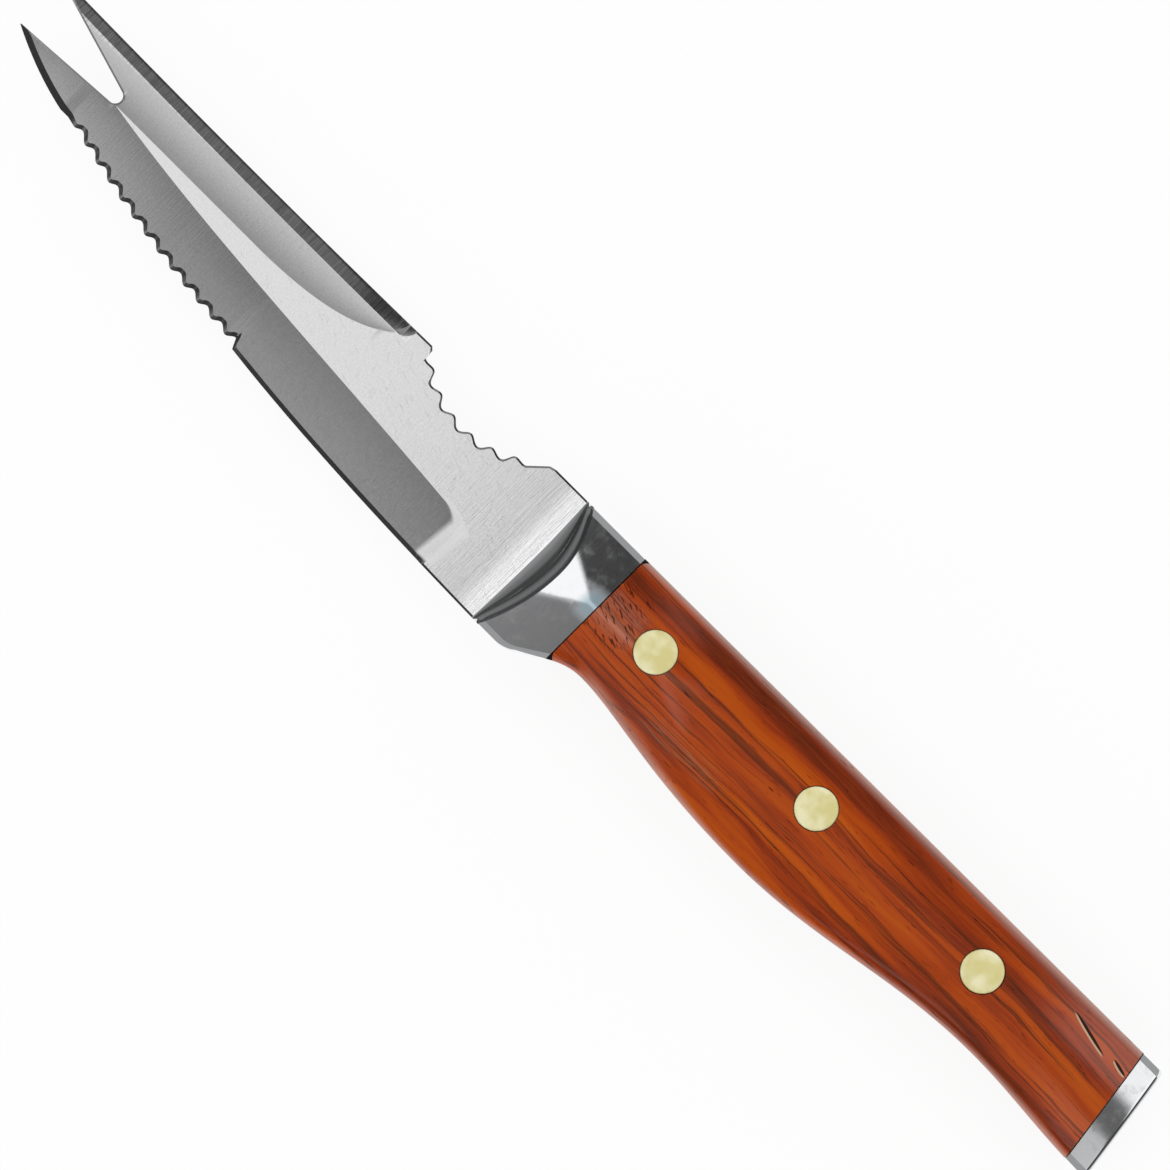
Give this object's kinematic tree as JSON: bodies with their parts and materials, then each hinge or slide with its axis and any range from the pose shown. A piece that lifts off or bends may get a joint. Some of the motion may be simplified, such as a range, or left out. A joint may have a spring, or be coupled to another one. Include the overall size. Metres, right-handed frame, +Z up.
{
  "type": "bar knife",
  "caption": "Full-tang bar knife with a forked tip, serrated and plain edge, toothed back recess, bolster, riveted hardwood handle and slanted butt cap.",
  "frame": {"origin": "bottom centre of the bounding box, on the surface that the knife lies on with its right side down", "axes": "+X from the fork tip to the butt, +Y from the cutting edge to the back of the blade, +Z up through the blade's left side"},
  "size_m": [0.229, 0.0242, 0.013],
  "materials": {
    "blade_steel": "satin, ground",
    "bolster_steel": "polished",
    "cap_steel": "mirror polished",
    "hardwood": "glossy, red-brown with dark grain",
    "brass": "lightly brushed"
  },
  "bodies": {
    "root": {"blade": "blade_steel", "bolster_left": "bolster_steel", "bolster_right": "bolster_steel", "scale_left": "hardwood", "scale_right": "hardwood", "butt_cap": "cap_steel", "rivet_front_male": "brass", "rivet_front_female": "brass", "rivet_middle_male": "brass", "rivet_middle_female": "brass", "rivet_rear_male": "brass", "rivet_rear_female": "brass"}
  },
  "joints": []
}
